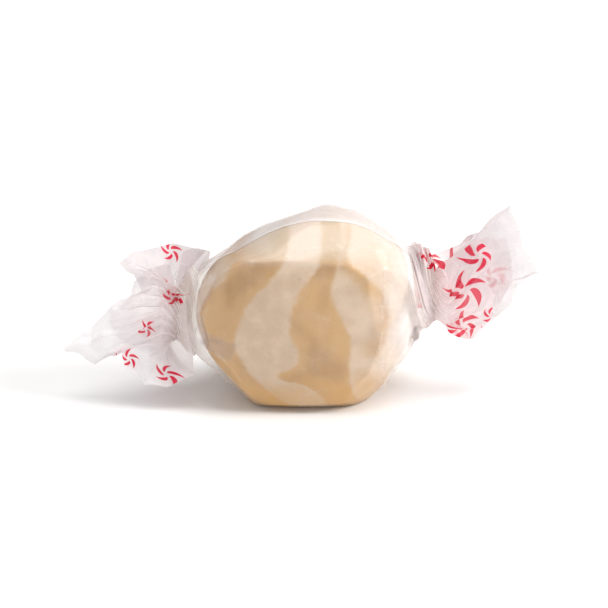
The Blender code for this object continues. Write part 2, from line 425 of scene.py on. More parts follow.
def print_on(piece, printed=True):
    """Maps each face onto its nearest pinwheel: 0 is the middle and 1 the rim."""
    mesh = piece.data
    sizes = read(mesh.polygons, "loop_total", 1, int)[:, 0]
    centres = read(mesh.polygons, "center") / MM
    corners = read(mesh.loops, "vertex_index", 1, int)[:, 0]

    def flattened(points):
        return points[:, [0, 2]] + PRINT_SLANT * points[:, [1]]

    front = centres[:, 1] < PRINT_BACK_FROM
    chosen = np.zeros((len(centres), 4)) + NO_PINWHEEL
    for side, wheels in ((front, FRONT_PINWHEELS), (~front, BACK_PINWHEELS)):
        if printed and side.any():
            wheels = np.array(wheels)
            away = flattened(centres[side])[:, None, :] - wheels[None, :, :2]
            chosen[side] = wheels[np.argmin(np.linalg.norm(away, axis=2) / wheels[:, 2], axis=1)]
    chosen = np.repeat(chosen, sizes, axis=0)
    away = (flattened(points_of(piece)[corners]) - chosen[:, :2]) / chosen[:, [2]]
    cos, sin = np.cos(chosen[:, 3]), np.sin(chosen[:, 3])
    x, y = away[:, 0], away[:, 1]
    turned = np.stack([x * cos - y * sin, x * sin + y * cos], axis=1)
    mesh.uv_layers.new(name="pinwheel").data.foreach_set("uv", turned.ravel())


print("pinwheels:", len(FRONT_PINWHEELS), "in front and", len(BACK_PINWHEELS), "behind")

# %% [markdown]
# ## The sheet round the sweet
#
# The paper is one sheet rolled round the twist axis a little more than once, so a strip on top lies
# double. A flat grid stands for it, and is rolled up by sending every point to its place. Paper
# can't follow a hollow, so each line from neck to neck runs over the high points as a taut thread
# would. Cloth simulation was the other way, but a thread gives the same folds every time.

# %% Folds, pleats and a taut thread
FOLD_COUNT = 8


def waist_pleat(neck, edge, side, angle):
    """The neck's pleats: -1 in a valley and 1 on a ridge."""
    angles = (neck_angles(edge_columns(edge), neck) - side * NECK_TURN) % math.tau
    order = np.argsort(angles)
    return np.interp(angle % math.tau, angles[order], pleated(len(angles))[order], period=math.tau)


def lapped_fold(angle, seed):
    """Folds laid over each other: a slow rise to 1 and a quick fall to 0."""
    phase = FOLD_COUNT * angle / math.tau + 0.9 * noise.noise(Vector((angle * 1.1, seed, 8.0)))
    share = phase % 1.0
    height = 0.6 + 0.8 * noise.noise(Vector((math.floor(phase) * 3.7, seed, 2.0)))
    return height * min(share / 0.8, (1.0 - share) / 0.2)


def taut(x, r):
    """Heights of a thread stretched over the points (x, r)."""
    kept = [0]
    for i in range(1, len(x)):
        while len(kept) > 1:
            a, b = kept[-2], kept[-1]
            if (r[b] - r[a]) * (x[i] - x[a]) > (r[i] - r[a]) * (x[b] - x[a]):
                break
            kept.pop()
        kept.append(i)
    return np.interp(x, x[kept], r[kept])


# %% Lines along the sheet
SHEET_COLUMNS, SHEET_ROWS = 330, 190
WAIST_LEFT = past_neck(LEFT_NECK, -1.0, NECK_REACH)
WAIST_RIGHT = past_neck(RIGHT_NECK, 1.0, NECK_REACH)
GATHER_FROM, GATHER_TO = 12.4, 13.4
SWEET_END = GATHER_TO + 0.6
END_TURN = math.radians(150)
# Bunched knobs as (along, half length, heading, half width, height, crumple), mm and degrees.
KNOBS = [(14.5, 1.3, 12.0, 34.0, 1.3, 1.2), (13.5, 0.45, 134.0, 9.0, 1.2, 0.2)]

taffy_surface = BVHTree.FromObject(taffy, bpy.context.evaluated_depsgraph_get())
stations = np.linspace(-1.0, 1.0, SHEET_ROWS + 1)
stations = (np.sin(stations * math.pi / 2) + 1.0) / 2.0
stations = WAIST_LEFT[0] + (WAIST_RIGHT[0] - WAIST_LEFT[0]) * stations
axis_z = np.interp(stations, (WAIST_LEFT[0], WAIST_RIGHT[0]), (WAIST_LEFT[2], WAIST_RIGHT[2]))
gather = smooth_step(GATHER_FROM, GATHER_TO, np.abs(stations))
reach = np.where(stations < 0.0, -WAIST_LEFT[0], WAIST_RIGHT[0])
end_share = np.clip((np.abs(stations) - GATHER_FROM) / (reach - GATHER_FROM), 0.0, 1.0)
turns = np.sign(stations) * END_TURN * end_share


def noise_along(size, turn, seed):
    """Smooth noise along one line of the sheet, with lumps of that length."""
    return np.array([noise.noise(Vector((x / size, turn, seed))) for x in stations])


def sweet_radius(outward):
    """Distance in mm from the twist axis to the sweet along one line."""
    radius = np.zeros(len(stations))
    for row, (x, z) in enumerate(zip(stations, axis_z)):
        start = Vector((x, 0.0, z)) * MM
        met = taffy_surface.ray_cast(start, Vector(outward[row]))[0]
        if met is not None and abs(x) < SWEET_END:
            radius[row] = (met - start).length / MM
    return radius


def knobs_along(headings, angle):
    """Share and height of the bunched knobs along one line."""
    crumple = noise_along(0.7, angle * 4.5, 31.0)
    share, height = np.zeros(len(stations)), np.zeros(len(stations))
    for along, half_length, heading, half_width, high, crumpled in KNOBS:
        aside = (np.degrees(headings) - heading + 180.0) % 360.0 - 180.0
        near = ((stations - along) / half_length) ** 2 + (aside / half_width) ** 2
        share = share + np.exp(-(near**2))
        height = height + np.exp(-(near**2)) * (high + crumpled * crumple)
    return share, height


print("the sheet:", SHEET_COLUMNS + 1, "lines of", len(stations), "stations")

# %% Roll the sheet
ROLL_START, ROLL_END = math.radians(-50), math.radians(374)
PAPER_GAP = 0.05
PUFF_HEIGHT, WRINKLE_HEIGHT = 0.22, 0.02
FOLD_DEPTH = 1.35
# Angles before the sheet's end where it is single and double, and its lifts.
LAP_FROM, LAP_TO = math.radians(66), math.radians(58)
LAP_LIFT, LIP_LIFT = 0.09, 0.015
LIP_WIDTH, LIP_SETTLE = math.radians(3), math.radians(5)
WAVE_FROM, EDGE_WAVE = math.radians(40), math.radians(5)

edge_wave = EDGE_WAVE * noise_along(5.0, 3.0, 12.0)
roll = np.linspace(ROLL_START, ROLL_END, SHEET_COLUMNS + 1)
sheet_place = np.empty((SHEET_COLUMNS + 1, SHEET_ROWS + 1, 3))
sheet_cling, sheet_double, sheet_lip = np.empty((3, SHEET_COLUMNS + 1, SHEET_ROWS + 1))
for column, angle in enumerate(roll):
    headings = angle + turns + edge_wave * smooth_step(ROLL_END - WAVE_FROM, ROLL_END, angle)
    outward = np.stack([np.zeros_like(headings), -np.sin(headings), np.cos(headings)], axis=1)
    taffy_radius = sweet_radius(outward)
    pleat, fold = np.empty(len(stations)), np.empty(len(stations))
    for neck, edge, side in ((LEFT_NECK, LEFT_EDGE, -1.0), (RIGHT_NECK, RIGHT_EDGE, 1.0)):
        end = 0 if side < 0 else -1
        taffy_radius[end] = NECK_RADIUS
        end_angle = math.atan2(outward[end][2], outward[end][1])
        pleat[stations * side > 0] = waist_pleat(neck, edge, side, end_angle)
        fold[stations * side > 0] = lapped_fold(angle, side)
    puff = noise_along(5.0, angle * 1.7, 4.0)
    wrinkle = noise_along(1.6, angle * 6.0, 9.0)
    lap = smooth_step(ROLL_END - LAP_FROM, ROLL_END - LAP_TO, angle)
    settled = smooth_step(ROLL_END - LIP_SETTLE, ROLL_END, angle)
    lift = lap * (LAP_LIFT - (LAP_LIFT - LIP_LIFT) * settled) * (1.0 - end_share)
    slack = PAPER_GAP + PUFF_HEIGHT * np.clip(puff - 0.1, 0.0, None) + WRINKLE_HEIGHT * wrinkle
    radius = taut(stations, taffy_radius) + slack * (1.0 - end_share) + lift
    radius = radius + gather * (1.0 - end_share) * FOLD_DEPTH * fold
    knob, knob_height = knobs_along(headings, angle)
    radius = radius + PLEAT_DEPTH * pleat * end_share**4 + knob_height
    axis = np.stack([stations, 0 * stations, axis_z], axis=1)
    sheet_place[column] = axis + outward * radius[:, None]
    sheet_cling[column] = radius - taffy_radius
    sheet_double[column] = lap
    lip = smooth_step(ROLL_END - LIP_WIDTH, ROLL_END - 0.6 * LIP_WIDTH, angle)
    sheet_lip[column] = np.maximum(lip, knob)
print("rolled through", round(math.degrees(ROLL_END - ROLL_START)), "degrees")

# %% Make the rolled sheet a piece
WRAP_CREASES = 90
WRAP_CREASE_HEIGHT = (0.08, 0.30)
WRAP_LOOSE = (7.0, 12.5)
CLUNG_CREASE = 0.12
CREASE_LIFT, CREASE_SINK = 0.03, 0.02
LOWEST = 0.02

sheet = bmesh.new()
grid = bmesh.ops.create_grid(
    sheet, x_segments=SHEET_COLUMNS, y_segments=SHEET_ROWS, size=1.0, calc_uvs=False
)["verts"]
columns = np.rint([(vert.co.x + 1.0) / 2.0 * SHEET_COLUMNS for vert in grid]).astype(int)
rows = np.rint([(vert.co.y + 1.0) / 2.0 * SHEET_ROWS for vert in grid]).astype(int)
for vert, column, row in zip(grid, columns, rows):
    place = sheet_place[column, row]
    vert.co = Vector((place[0], place[1], max(place[2], LOWEST))) * MM
wrap = new_piece("wax_paper_wrap", sheet)
wrap_points = points_of(wrap)
away = wrap_points - np.stack([wrap_points[:, 0], 0 * wrap_points[:, 0], axis_z[rows]], axis=1)
if np.sum(normals_of(wrap) * away) < 0.0:
    wrap.data.flip_normals()
loose = smooth_step(*WRAP_LOOSE, np.abs(wrap_points[:, 0])) * (1.0 - end_share[rows])
crease = straight_creases(wrap_points, WRAP_CREASES, WRAP_CREASE_HEIGHT, 5) * (CLUNG_CREASE + loose)
lifted = np.clip(crease + CREASE_LIFT, -CREASE_SINK, None)
wrap_points = wrap_points + normals_of(wrap) * lifted[:, None]
wrap_points[:, 2] = np.maximum(wrap_points[:, 2], LOWEST)
move_points(wrap, wrap_points)
gaps = sheet_cling[columns, rows] + np.maximum(crease, 0.0)
store(
    wrap,
    fold_line=fold_sharpness(wrap) * (0.3 + 0.7 * gather[rows]),
    standing_off=smooth_step(0.10, 1.1, gaps),
    gather=gather[rows],
    towards_waist=end_share[rows],
    double=sheet_double[columns, rows],
    lip=sheet_lip[columns, rows],
)
print_on(wrap)
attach(wrap, "root")
print("wrap:", len(wrap.data.polygons), "faces; gap to the sweet up to", gaps.max().round(2), "mm")

# %% [markdown]
# ## The fans at both ends
#
# Past the neck the sheet opens into a crumpled funnel. Its columns run to the free edge in nearly
# straight lines, because paper bends one way at a time. The neck's pleats die away towards the
# edge, and creases on their ridges keep the folds sharp.

# %% Draw the fans
FAN_SHARES = (0.08, 0.18, 0.30, 0.44, 0.60, 0.78, 1.0)
FAN_BELLY = 0.10
# Depth of the pleats at the flare and at the free edge, and how they fade.
FAN_RUFFLE = (0.52, 0.05)
FAN_RUFFLE_FADE = 3.2
FAN_PLEAT_SIZES = (0.1, 1.4)
FAN_CREASE = 0.6
FAN_LEVELS = 3
FAN_CREASES = 22
FAN_CREASE_HEIGHT = (0.12, 0.34)
FAN_CREASE_SCALE = 2.0
CRUMPLE_SIZE, CRUMPLE_DEPTH = 4.5, 0.34
WOBBLE_SIZE, WOBBLE_DEPTH = 2.6, 0.55
OPEN_FROM, OPEN_TO = 3.4, 6.5
NEAR_NECK, OFF_NECK = 3.2, 7.5
loose_papers = []


def fan_rings(neck, edge, side, seed):
    columns = edge_columns(edge)
    sizes = np.random.default_rng(seed).uniform(*FAN_PLEAT_SIZES, len(columns))
    angles = neck_angles(columns, neck)
    waist_at = past_neck(neck, side, NECK_REACH)
    flare_at = past_neck(neck, side, FLARE_REACH)
    waist = neck_ring(angles, waist_at, NECK_RADIUS, -side * NECK_TURN, PLEAT_DEPTH)
    flare = neck_ring(angles, flare_at, FLARE_RADIUS, 0.0, PLEAT_DEPTH)
    rings = [waist, flare]
    for share in FAN_SHARES:
        line = flare + (columns - flare) * share
        spine = flare_at + (columns.mean(axis=0) - flare_at) * share
        outward = line - spine
        reach = np.linalg.norm(outward, axis=1, keepdims=True)
        bulge = FAN_BELLY * 4.0 * share * (1.0 - share) * outward
        depth = FAN_RUFFLE[1] + (FAN_RUFFLE[0] - FAN_RUFFLE[1]) * (1.0 - share) ** FAN_RUFFLE_FADE
        ruffle = depth * (sizes * pleated(len(columns)))[:, None] * outward / reach
        rings.append(line + bulge + ruffle)
    return rings


def openness(points, neck):
    """0 at the neck and 1 where the paper stands free."""
    return smooth_step(OPEN_FROM, OPEN_TO, np.abs(points[:, 0] - neck[0]))


def finish_paper(piece, points, neck, side, printed):
    away = np.linalg.norm(points - past_neck(neck, side, FLARE_REACH), axis=1)
    near_neck = 1.0 - smooth_step(NEAR_NECK, OFF_NECK, away)
    store(piece, fold_line=fold_sharpness(piece), near_neck=near_neck)
    print_on(piece, printed)
    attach(piece, "root")
    loose_papers.append(piece)
    print(piece.name, len(piece.data.polygons), "faces")


def paper_piece(name, rings, closed=True):
    skin = skin_through(rings, [0.0] * len(rings), [FAN_CREASE] * len(rings[0]), closed)
    piece = new_piece(name, skin)
    divide(piece, FAN_LEVELS)
    return piece


def draw_fan(name, neck, edge, side, seed):
    fan = paper_piece(name, fan_rings(neck, edge, side, seed))
    points = points_of(fan)
    crease = straight_creases(points, FAN_CREASES, FAN_CREASE_HEIGHT, seed, FAN_CREASE_SCALE)
    depth = CRUMPLE_DEPTH * noise_at(points, CRUMPLE_SIZE, seed) + crease
    wobble = [noise_at(points, WOBBLE_SIZE, seed + number) for number in (1, 2, 3)]
    moves = normals_of(fan) * depth[:, None] + WOBBLE_DEPTH * np.stack(wobble, axis=1)
    move_points(fan, points + moves * openness(points, neck)[:, None])
    finish_paper(fan, points, neck, side, printed=True)
    return fan


# %% [markdown]
# ## Leaves inside the fans
#
# The sheet goes round more than once, so each fan holds a second, inner leaf, and two loose corners
# of the sheet stand beside the left neck as tucks. A copy of the fan would be closed round, so each
# is an open strip from inside the neck to its own free edge.

# %% Inner leaves
LEAF_SHARES = (0.15, 0.35, 0.6, 0.8, 1.0)
LEAF_PLEAT = 0.28
LEAF_ROOT_REACH, LEAF_ROOT_INSIDE, LEAF_ROOT_PLEAT = 0.3, 0.7, 0.3
LEFT_LEAF = [
    (-16.8, -3.8, 5.6), (-19.6, -3.2, 6.4), (-22.6, -2.2, 7.6), (-23.4, -1, 9.6), (-21, 0, 11.6),
    (-20.4, 0.6, 13.6), (-18.6, 1.4, 15), (-16.2, 2.4, 15.4),
]
RIGHT_LEAF = [
    (18, -0.6, 8.4), (21, -0.6, 9.2), (23.6, -0.2, 11.2), (25, 0.2, 13.8), (24.8, 0.2, 16.6),
    (24.2, 0, 19.2), (21.6, -0.4, 19.6), (18.8, -0.6, 18.4),
]
LEFT_TUCK = [
    (-17.4, -1.6, 5), (-15.9, -3.2, 4.5), (-14.6, -4.8, 4.3), (-13.1, -6.2, 4.6),
    (-13.2, -6.3, 6.8), (-13.6, -6, 9), (-13.9, -5.4, 11), (-14, -4.2, 12.8),
]
LEFT_TOP_TUCK = [
    (-14.8, 4.4, 11.2), (-13, 5, 12.6), (-11.6, 5.2, 14.4), (-11.3, 4.9, 16),
    (-12.8, 4.4, 16.6), (-14.6, 4, 16.4),
]


def leaf_rows(neck, edge, side):
    columns = edge_columns(edge, closed=False)
    seen = np.unwrap(np.arctan2(columns[:, 2] - neck[2], columns[:, 1] - neck[1]))
    root_at = past_neck(neck, side, NECK_REACH + LEAF_ROOT_REACH)
    root = neck_ring(seen, root_at, NECK_RADIUS - LEAF_ROOT_INSIDE, 0.0, LEAF_ROOT_PLEAT)
    outward = columns - columns.mean(axis=0)
    outward /= np.linalg.norm(outward, axis=1, keepdims=True)
    rows = [root]
    for share in LEAF_SHARES:
        pleat = LEAF_PLEAT * (1.0 - share) * pleated(len(columns))[:, None] * outward
        rows.append(root + (columns - root) * share + pleat)
    return rows


def draw_leaf(name, neck, edge, side, seed):
    leaf = paper_piece(name, leaf_rows(neck, edge, side), closed=False)
    points = points_of(leaf)
    depth = straight_creases(points, FAN_CREASES // 2, FAN_CREASE_HEIGHT, seed, FAN_CREASE_SCALE)
    depth = depth * openness(points, neck)
    move_points(leaf, points + normals_of(leaf) * depth[:, None])
    finish_paper(leaf, points, neck, side, printed=False)


draw_leaf("wax_paper_leaf_left", LEFT_NECK, LEFT_LEAF, -1.0, 51)
draw_leaf("wax_paper_leaf_right", RIGHT_NECK, RIGHT_LEAF, 1.0, 61)
draw_leaf("wax_paper_tuck_left", LEFT_NECK, LEFT_TUCK, -1.0, 71)
draw_leaf("wax_paper_tuck_back", LEFT_NECK, LEFT_TOP_TUCK, -1.0, 81)

# %% [markdown]
# ## Cores of the necks
#
# Inside each neck the paper is wrung together, so a look into a fan ends on folds that wind to one
# point. Each core is a shallow funnel, whose pleats turn further at every ring.

# %% Wrung cores
CORE_COLUMNS = 22
# Rings as (distance from the neck, radius, pleat depth, turn), mm and degrees.
CORE_RINGS = [
    (1.1, 0.15, 0.05, 150), (1.5, 0.8, 0.25, 110), (1.9, 1.5, 0.40, 70),
    (2.4, 2.1, 0.45, 35), (3.1, 2.7, 0.40, 12), (4.3, 3.3, 0.30, 0),
]


def draw_core(name, neck, side):
    angles = np.arange(CORE_COLUMNS) * math.tau / CORE_COLUMNS
    rings = []
    for along, radius, pleats, turn in CORE_RINGS:
        centre = past_neck(neck, side, along)
        rings.append(neck_ring(angles, centre, radius, -side * math.radians(turn), pleats))
    skin = skin_through(rings, [0.0] * len(rings), [FAN_CREASE] * CORE_COLUMNS)
    middle = [edge for edge in skin.edges if edge.is_boundary and edge.calc_length() < 0.2 * MM]
    bmesh.ops.contextual_create(skin, geom=middle)
    core = new_piece(name, skin)
    divide(core, FAN_LEVELS)
    finish_paper(core, points_of(core), neck, side, printed=False)


draw_core("wax_paper_core_left", LEFT_NECK, -1.0)
draw_core("wax_paper_core_right", RIGHT_NECK, 1.0)

# %% The fans round the leaves and cores
fan_left = draw_fan("wax_paper_fan_left", LEFT_NECK, LEFT_EDGE, -1.0, 20)
fan_right = draw_fan("wax_paper_fan_right", RIGHT_NECK, RIGHT_EDGE, 1.0, 30)
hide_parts("twist_left")
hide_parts("twist_right")

# %% [markdown]
# ## Shader maths as expressions
#
# A long graph of nodes is hard to read. `Value` wraps one socket, so that Python arithmetic on it
# adds the Math nodes. `Paint` makes any other node, and has short words for common ones.

# %% Sockets that can be added and multiplied


class Value:
    """One output socket of a node tree, with Python's operators."""

    def __init__(self, paint, socket):
        self.paint = paint
        self.socket = socket

    def maths(self, operation, *others):
        return self.paint.node("ShaderNodeMath", {"operation": operation}, self, *others)

    def __add__(self, other):
        return self.maths("ADD", other)

    def __sub__(self, other):
        return self.maths("SUBTRACT", other)

    def __rsub__(self, other):
        return self.paint.node("ShaderNodeMath", {"operation": "SUBTRACT"}, other, self)

    def __mul__(self, other):
        return self.maths("MULTIPLY", other)

    def __truediv__(self, other):
        return self.maths("DIVIDE", other)

    __radd__ = __add__
    __rmul__ = __mul__

    def clamped(self):
        return self.maths("MAXIMUM", 0.0).maths("MINIMUM", 1.0)

    def step(self, low, high):
        """0 below `low` and 1 above `high`."""
        settings = {"interpolation_type": "SMOOTHSTEP"}
        ends = {"From Min": low, "From Max": high, "Value": self}
        return self.paint.node("ShaderNodeMapRange", settings, **ends)

    def below(self, low, high):
        return 1.0 - self.step(low, high)


class Paint:
    """The node tree of one new material."""

    def __init__(self, name):
        self.material = bpy.data.materials.new(name)
        self.material.use_nodes = True
        self.tree = self.material.node_tree
        self.tree.nodes.clear()

    def node(self, kind, settings=None, *values, output=0, **named):
        """Adds a node and gives one output; plain values fill its inputs in order."""
        made = self.tree.nodes.new(kind)
        for name, setting in (settings or {}).items():
            setattr(made, name, setting)
        for key, value in [*enumerate(values), *named.items()]:
            self.fill(made.inputs[key], value)
        return Value(self, made.outputs[output])

    def fill(self, socket, value):
        if isinstance(value, Value):
            self.tree.links.new(value.socket, socket)
        elif isinstance(value, tuple) and socket.type == "RGBA":
            socket.default_value = (*value, 1.0)
        else:
            socket.default_value = value

    def surface(self, **inputs):
        """The plain shader, with _ for a space in an input's name."""
        named = {name.replace("_", " "): value for name, value in inputs.items()}
        return self.node("ShaderNodeBsdfPrincipled", None, **named)

    def mix(self, share, first, second):
        made = self.tree.nodes.new("ShaderNodeMix")
        made.data_type = "RGBA"
        colour_inputs = [socket for socket in made.inputs if socket.type == "RGBA"]
        self.fill(made.inputs[0], share)
        self.fill(colour_inputs[0], first)
        self.fill(colour_inputs[1], second)
        return Value(self, next(socket for socket in made.outputs if socket.type == "RGBA"))

    def noise(self, place, scale, detail=2.0, roughness=0.5, output=0):
        named = {"Vector": place, "Scale": scale, "Detail": detail, "Roughness": roughness}
        return self.node("ShaderNodeTexNoise", None, output=output, **named)

    def stored(self, name):
        return self.node("ShaderNodeAttribute", {"attribute_name": name}, output="Fac")

    def axes(self, vector, names="XYZ"):
        return (self.node("ShaderNodeSeparateXYZ", None, vector, output=name) for name in names)

    def vector(self, operation, first, second):
        return self.node("ShaderNodeVectorMath", {"operation": operation}, first, second)

    def scaled(self, vector, by):
        return self.node("ShaderNodeVectorMath", {"operation": "SCALE"}, vector, Scale=by)

    def place_in_mm(self):
        return self.scaled(self.node("ShaderNodeTexCoord", output="Object"), 1.0 / MM)

    def cells(self, place, scale, feature):
        return self.node("ShaderNodeTexVoronoi", {"feature": feature}, Vector=place, Scale=scale)

    def bump(self, strength, distance, height):
        return self.node("ShaderNodeBump", None, Strength=strength, Distance=distance, Height=height)

    def bar(self, across, height, x, z, lean, half_length, half_width, soft):
        """1 in a slanted bar round (x, z)."""
        cos, sin = math.cos(math.radians(lean)), math.sin(math.radians(lean))
        along = ((across - x) * cos + (height - z) * sin).maths("ABSOLUTE")
        aside = ((height - z) * cos - (across - x) * sin).maths("ABSOLUTE")
        inside = along.below(half_length - soft, half_length + soft)
        return inside * aside.below(half_width - soft, half_width + soft)

    def curve(self, value, points):
        """A smooth curve through points from 0 to 1 both ways."""
        made = self.tree.nodes.new("ShaderNodeFloatCurve")
        line = made.mapping.curves[0]
        while len(line.points) < len(points):
            line.points.new(0.5, 0.5)
        for point, (x, y) in zip(line.points, points):
            point.location = (x, y)
        made.mapping.update()
        self.fill(made.inputs["Value"], value)
        return Value(self, made.outputs[0])

    def finish(self, shader):
        output = self.tree.nodes.new("ShaderNodeOutputMaterial")
        self.tree.links.new(shader.socket, output.inputs["Surface"])
        return self.material


# %% [markdown]
# ## The marbling
#
# The dark and the light batch are pulled together, so the cut shows upright bands that swell, lean
# and pinch. Each border of a dark band is a curve of how far across it lies at each height, with a
# point wherever it turns. The bands run back through the sweet, as no picture of the cut could, and
# drift sideways as the rope was turned.

# %% Bands and pulls of the marbling
SWEET_HEIGHT = 24.0
SWEET_HALF_WIDTH = 16.0
# Borders of the dark bands as (height, across) in mm.
LEFT_BAND = (
    [(0, -4), (3, -7.8), (6, -11.2), (9, -15), (13, -15), (16.2, -10), (20, -8.4), (24, -7)],
    [(0, -0.6), (3, -4.3), (5.4, -6.2), (9, -8.2), (12.4, -7.3), (16, -4.6), (20, -2.2), (24, -1.6)],
)
MIDDLE_BAND = (
    [(0, 3), (3.4, 0.4), (4.8, -3.2), (6.6, -1), (11, -1.8), (15.2, -0.7), (19.8, 1.6), (24, 1.6)],
    [(0, 7.4), (3.4, 6), (6, 5.6), (9, 5.7), (11.5, 4.6), (15.2, 3.3), (19.8, 4.2), (24, 5.2)],
)
# The right band is partly tan and partly painted shade along the crease before the bright right bevel, so
# its left border is soft.
RIGHT_BAND_AND_SHADE = (
    [(0, 9.4), (6.4, 9), (7.8, 7.4), (10.6, 8.3), (14.3, 7.6), (17.2, 5.6), (19.4, 3.6), (24, 9)],
    [(0, 9), (6.4, 8.6), (7.8, 8.9), (10.6, 9.9), (14.3, 9.5), (17.2, 7.7), (19.4, 5.4), (24, 8)],
)
# Left border, right border, softness of the left one, and darkness.
BANDS = ((*LEFT_BAND, 0.35, 1.0), (*MIDDLE_BAND, 0.35, 1.0), (*RIGHT_BAND_AND_SHADE, 1.4, 0.95))
# Darker pulls as (across, height, lean, half length, half width, darkness), mm and degrees.
PULLS = [
    (-6.6, 17.5, 36, 3.9, 1.1, 0.60), (-7.4, 15.3, 48, 2.4, 0.5, 0.35), (-9.2, 13, 80, 2.4, 0.6, 0.3),
    (-0.4, 11.2, -42, 2.9, 0.5, 0.40), (3, 7.4, -35, 2.6, 0.8, 0.55), (-1.9, 4.2, 14, 2.1, 0.9, 0.5),
    (2.9, 18.6, 4, 2.2, 0.9, 0.65), (2.8, 5.6, -22, 2.4, 1, 0.65),
    (2.2, 14.6, 75, 1.8, 0.6, 0.4), (8.9, 12, 82, 3.4, 0.8, 0.5), (-6.4, 5.2, -50, 2.6, 0.7, 0.4),
]
PULL_SOFTNESS = 0.9


def dark_bands(paint, across, height):
    level = height / SWEET_HEIGHT

    def border(points):
        scaled = [(z / SWEET_HEIGHT, x / (2.0 * SWEET_HALF_WIDTH) + 0.5) for z, x in points]
        return (paint.curve(level, scaled) - 0.5) * (2.0 * SWEET_HALF_WIDTH)

    dark = height.below(3.0, 6.5) * across.step(4.5, 7.0) * across.below(9.5, 11.5) * 0.55
    dark = dark.maths("MAXIMUM", height.below(1.8, 5.0) * 0.62)
    for left, right, soft, strength in BANDS:
        band = (across - border(left)).step(-soft, soft + 0.3) * (border(right) - across).step(-0.35, 0.45)
        dark = dark.maths("MAXIMUM", band * strength)
    return dark


def deep_pulls(paint, across, height, clouds, streaks):
    deep = 0.22 * clouds.step(0.40, 0.66) + 0.30 * (streaks - 0.5) + 0.08
    for *place_and_size, darkness in PULLS:
        deep = deep + darkness * paint.bar(across, height, *place_and_size, PULL_SOFTNESS)
    return (deep * height.below(18.8, 20.0)).clamped()


# %% Taffy material
# Noises for ragged borders as (fineness, detail, shift in mm).
RAGGED = [(0.13, 1.0, 1.5), (0.55, 2.0, 0.7), (1.7, 3.0, 0.55)]
BACK_DRIFT = 14.0
TAN_SWEET = (0.548, 0.322, 0.119)
TAN_DEEP = (0.38, 0.196, 0.053)
TAN_GOLD = (0.56, 0.306, 0.078)
TAN_TOP = (0.50, 0.345, 0.155)
CREAM_SWEET = (0.530, 0.382, 0.254)
CREAM_PALE = (0.620, 0.470, 0.335)
# Cream for painted light on the top and the right bevel.
CREAM_PAINTED_LIGHT = (0.72, 0.58, 0.46)
SPECK_BROWN = (0.30, 0.16, 0.06)


def paint_taffy():
    paint = Paint("marbled_taffy")
    in_mm = moved = paint.place_in_mm()
    for fineness, detail, shift in RAGGED:
        away = paint.noise(in_mm, fineness, detail=detail, output="Color")
        away = paint.vector("SUBTRACT", away, (0.5, 0.5, 0.5))
        moved = paint.vector("ADD", moved, paint.scaled(away, shift))
    across, depth, height = paint.axes(moved)
    drift = paint.noise(in_mm, 0.09, detail=0.0)
    across = across + depth.step(-6.0, 9.0) * (drift - 0.5) * BACK_DRIFT
    streaks = paint.noise(paint.vector("MULTIPLY", moved, (1.0, 0.5, 0.28)), 0.7, roughness=0.45)
    clouds = paint.noise(in_mm, 0.35, detail=3.0)
    tan = paint.mix(height.below(3.0, 7.0), TAN_SWEET, TAN_GOLD)
    tan = paint.mix(height.step(18.3, 20.5), tan, TAN_TOP)
    tan = paint.mix(deep_pulls(paint, across, height, clouds, streaks), tan, TAN_DEEP)
    # Painted light: the cream is paler on the top and on the right bevel, where the lamps fall brightest,
    # and darker towards the left across the cut as painted shade.
    painted_light = height.step(18.0, 20.0).maths("MAXIMUM", across.step(9.0, 11.0))
    pale = (clouds + 0.012 * across - 0.02 + 0.3 * painted_light).step(0.35, 0.65)
    cream = paint.mix(pale, CREAM_SWEET, CREAM_PALE)
    cream = paint.mix(painted_light * 0.6, cream, CREAM_PAINTED_LIGHT)
    dark = dark_bands(paint, across, height)
    share = (dark * (0.88 + 0.16 * (streaks - 0.5)) + (clouds - 0.52) * 0.10).clamped()
    colour = paint.mix(share, cream, tan)
    speck = paint.cells(in_mm, 0.42, "F1")
    colour = paint.mix(speck.below(0.03, 0.06) * 0.45, colour, SPECK_BROWN)
    fine = paint.noise(in_mm, 2.4, detail=5.0, roughness=0.65)
    shader = paint.surface(
        Base_Color=colour,
        Roughness=0.36 + 0.16 * fine,
        Normal=paint.bump(0.25, 0.00012, fine),
        Subsurface_Weight=0.25,
        Subsurface_Radius=(1.0, 0.6, 0.35),
        Subsurface_Scale=0.0012,
        Coat_Weight=0.25,
        Coat_Roughness=0.22,
    )
    return paint.finish(shader)


taffy.data.materials.append(paint_taffy())
print("taffy material:", len(taffy.data.materials[0].node_tree.nodes), "nodes")

# %% [markdown]
# ## The wax paper
#
# Wax fills the pores of thin paper, so it is nearly clear where it lies on the sweet, and milky
# with air behind it, where it lies double or is creased. The paper mixes plain see-through with a
# waxy white sheet that lets light through from behind.

# %% Waxed sheet, old creases and ink
PAPER_WHITE = (0.81, 0.735, 0.745)
# Whiter paper for painted light low on the left fan, and greyer paper for painted shade on its high petal.
LOW_LEFT_PAINTED_LIGHT = (0.93, 0.895, 0.91)
HIGH_LEFT_PAINTED_SHADE = (0.73, 0.655, 0.665)
WAX_WHITE = (0.95, 0.905, 0.905)
CLING_WHITE = (0.96, 0.925, 0.905)
# Grey for painted shade in a hollow under bridging paper.
HOLLOW_SHADE_GREY = (0.62, 0.56, 0.55)
PRINT_RED = (0.76, 0.028, 0.075)
GHOST_PINK = (0.86, 0.52, 0.56)
PINWHEEL_BLADES = 5
PINWHEEL_TWIST = 1.5
PINWHEEL_HOLE = 0.16


